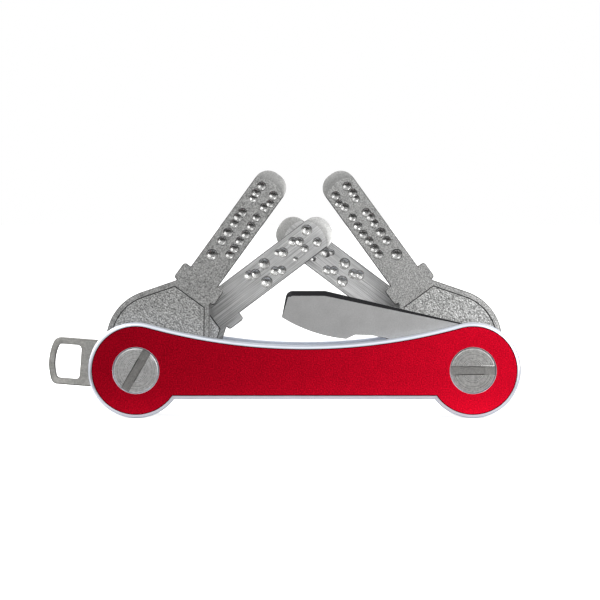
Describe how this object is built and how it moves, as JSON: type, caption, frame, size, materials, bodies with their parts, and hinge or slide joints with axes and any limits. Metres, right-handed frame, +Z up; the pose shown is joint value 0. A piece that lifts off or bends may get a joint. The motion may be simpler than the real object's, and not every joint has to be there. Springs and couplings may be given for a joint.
{
  "type": "key organiser",
  "caption": "Pocket key organiser: two waisted plates on two posts, with keys, a cutter tool and a keyring loop that fold out between them.",
  "frame": {"origin": "on the surface that the object stands on, under the middle of its bounding box", "axes": "+X along the plates towards the end without the keyring loop, +Y from the front plate to the back plate, +Z up towards the opened keys"},
  "size_m": [0.1076, 0.0186, 0.0559],
  "materials": {
    "anodised_plate": "red anodised, fine blasted grain, bare chamfer",
    "post_steel": "turned",
    "front_key_metal": "matte nickel",
    "rear_key_metal": "brushed nickel",
    "tool_steel": "blasted",
    "loop_steel": "tumbled",
    "spacer_aluminium": "turned",
    "washer_polymer": "moulded"
  },
  "bodies": {
    "casing": {"front_plate": "anodised_plate", "back_plate": "anodised_plate", "left_screw": "post_steel", "right_screw": "post_steel", "left_barrel": "post_steel", "right_barrel": "post_steel", "left_spacer_front": "spacer_aluminium", "left_spacer_middle": "spacer_aluminium", "right_spacer_middle": "spacer_aluminium", "right_spacer_rear": "spacer_aluminium", "left_washer_1": "washer_polymer", "left_washer_2": "washer_polymer", "left_washer_3": "washer_polymer", "left_washer_4": "washer_polymer", "left_washer_5": "washer_polymer", "left_washer_6": "washer_polymer", "right_washer_1": "washer_polymer", "right_washer_2": "washer_polymer", "right_washer_3": "washer_polymer", "right_washer_4": "washer_polymer", "right_washer_5": "washer_polymer", "right_washer_6": "washer_polymer"},
    "left_front_key": {"key_left_front": "front_key_metal"},
    "left_rear_key": {"key_left_rear": "rear_key_metal"},
    "right_front_key": {"key_right_front": "front_key_metal"},
    "right_rear_key": {"key_right_rear": "rear_key_metal"},
    "cutter": {"cutter_tool": "tool_steel"},
    "loop": {"keyring_loop": "loop_steel"}
  },
  "joints": [
    {"name": "left_front_key_pivot", "type": "hinge", "parent": "casing", "child": "left_front_key", "pos_m": [-0.03296, 0, 0.0108], "axis": [0, -1, 0], "range_deg": [-54, 126]},
    {"name": "left_rear_key_pivot", "type": "hinge", "parent": "casing", "child": "left_rear_key", "pos_m": [-0.03296, 0, 0.0108], "axis": [0, -1, 0], "range_deg": [-37, 143]},
    {"name": "right_front_key_pivot", "type": "hinge", "parent": "casing", "child": "right_front_key", "pos_m": [0.04304, 0, 0.0108], "axis": [0, 1, 0], "range_deg": [-54, 126]},
    {"name": "right_rear_key_pivot", "type": "hinge", "parent": "casing", "child": "right_rear_key", "pos_m": [0.04304, 0, 0.0108], "axis": [0, 1, 0], "range_deg": [-37, 143]},
    {"name": "cutter_pivot", "type": "hinge", "parent": "casing", "child": "cutter", "pos_m": [0.04304, 0, 0.0108], "axis": [0, 1, 0], "range_deg": [-20, 160]},
    {"name": "loop_pivot", "type": "hinge", "parent": "casing", "child": "loop", "pos_m": [-0.03296, 0, 0.0108], "axis": [0, -1, 0], "range_deg": [-95.5, 104.5]}
  ]
}
